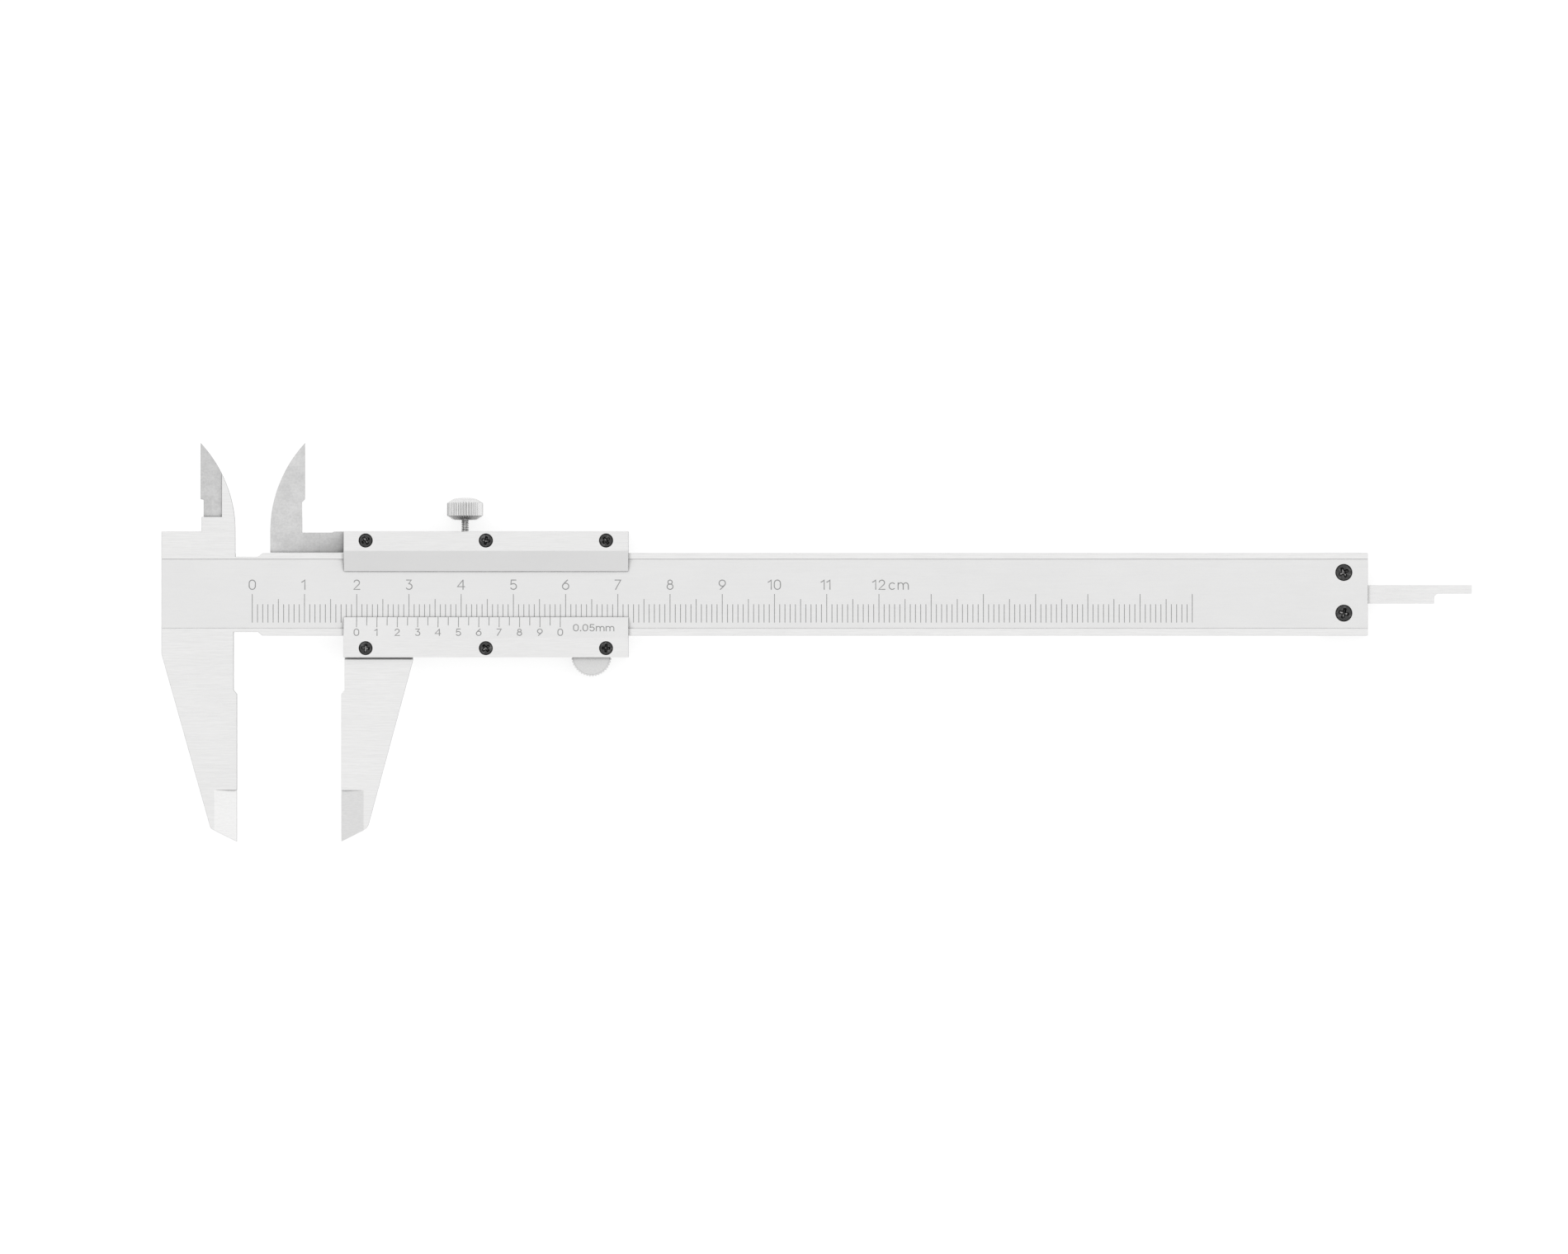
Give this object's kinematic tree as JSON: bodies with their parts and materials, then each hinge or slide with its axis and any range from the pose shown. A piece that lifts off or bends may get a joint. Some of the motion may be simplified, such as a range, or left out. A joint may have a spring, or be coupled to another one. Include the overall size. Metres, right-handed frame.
{
  "type": "vernier caliper",
  "caption": "Vernier caliper with outside and inside jaws, a screwed two-plate slider, thumb roller, lock screw and depth rod.",
  "frame": {"origin": "middle of the footprint at the slider's back face, with the outside jaws 20 mm open", "axes": "+X along the beam from the jaws to the depth rod's tip, +Y towards the inside jaws, +Z out of the scale face"},
  "size_m": [0.251, 0.0764, 0.007],
  "materials": {
    "ground_steel": "satin ground stainless steel with a matt scale field",
    "slider_steel": "satin ground stainless steel",
    "plate_steel": "satin chromed steel, fine lengthwise brushing",
    "screw_black": "black oxide",
    "spring_steel": "hardened spring strip",
    "nickel": "bright knurled nickel plate",
    "roller_steel": "satin turned steel with a serrated rim",
    "rod_steel": "drawn and ground steel",
    "engraving": "matt grey filling of the etched graduations and numerals",
    "pin_steel": "turned steel, flush ground"
  },
  "bodies": {
    "beam": {"beam": "ground_steel", "end_stop_plate": "slider_steel", "end_screw_upper": "screw_black", "end_screw_lower": "screw_black"},
    "slider": {"slider_body": "slider_steel", "upper_front_plate": "plate_steel", "vernier_plate": "plate_steel", "upper_screw_left": "screw_black", "upper_screw_middle": "screw_black", "upper_screw_right": "screw_black", "lower_screw_left": "screw_black", "lower_screw_middle": "screw_black", "lower_screw_right": "screw_black", "roller_axle_pin": "pin_steel", "depth_rod": "rod_steel", "rod_rivet_front": "pin_steel", "rod_rivet_rear": "pin_steel"},
    "roller": {"thumb_roller": "roller_steel"},
    "gib": {"gib_spring": "spring_steel"},
    "lock": {"lock_screw": "nickel"}
  },
  "joints": [
    {"name": "slider_slide", "type": "slide", "parent": "beam", "child": "slider", "axis": [1, 0, 0], "range_m": [-0.02, 0.13]},
    {"name": "roller_spin", "type": "hinge", "parent": "slider", "child": "roller", "pos_m": [-0.0432, -0.00267, 0.0026], "axis": [0, 0, 1], "range_deg": [-294, 1911]},
    {"name": "gib_feed", "type": "slide", "parent": "slider", "child": "gib", "axis": [0, 1, 0], "range_m": [-0.0002, 0]},
    {"name": "lock_turn", "type": "hinge", "parent": "gib", "child": "lock", "pos_m": [-0.0674, 0.02123, 0.0035], "axis": [0, 1, 0], "range_deg": [-181, 0]}
  ],
  "couplings": [
    {"joint": "roller_spin", "follows": "slider_slide", "rad_per_m": 256.41},
    {"joint": "lock_turn", "follows": "gib_feed", "rad_per_m": 15708}
  ]
}
